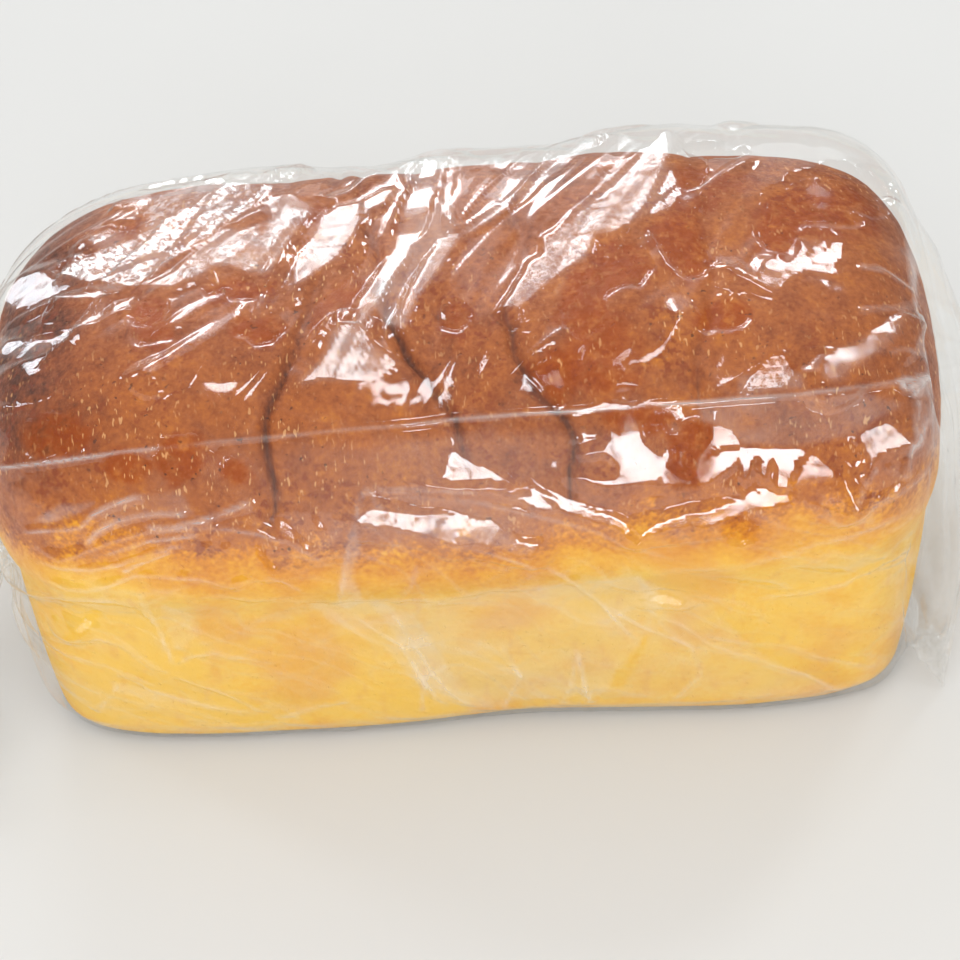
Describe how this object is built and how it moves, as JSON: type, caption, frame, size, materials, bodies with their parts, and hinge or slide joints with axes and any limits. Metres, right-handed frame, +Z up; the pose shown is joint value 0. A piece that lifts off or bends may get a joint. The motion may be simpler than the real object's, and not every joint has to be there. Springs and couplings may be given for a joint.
{
  "type": "loaf in bread bag",
  "caption": "Long tin loaf with a domed crown, shut in a clear gusseted film bag with a gathered neck, a loose tail and a folded end.",
  "frame": {"origin": "centre of the loaf's flat base, on the surface it stands on", "axes": "+X along the loaf from the gathered neck to the closed end, +Y from the front to the back, +Z up"},
  "size_m": [0.364, 0.1541, 0.1358],
  "materials": {
    "bread_bag": "clear crinkled glossy film over a matt red-brown to golden crust"
  },
  "bodies": {
    "root": {"bread_bag": "bread_bag"}
  },
  "joints": []
}
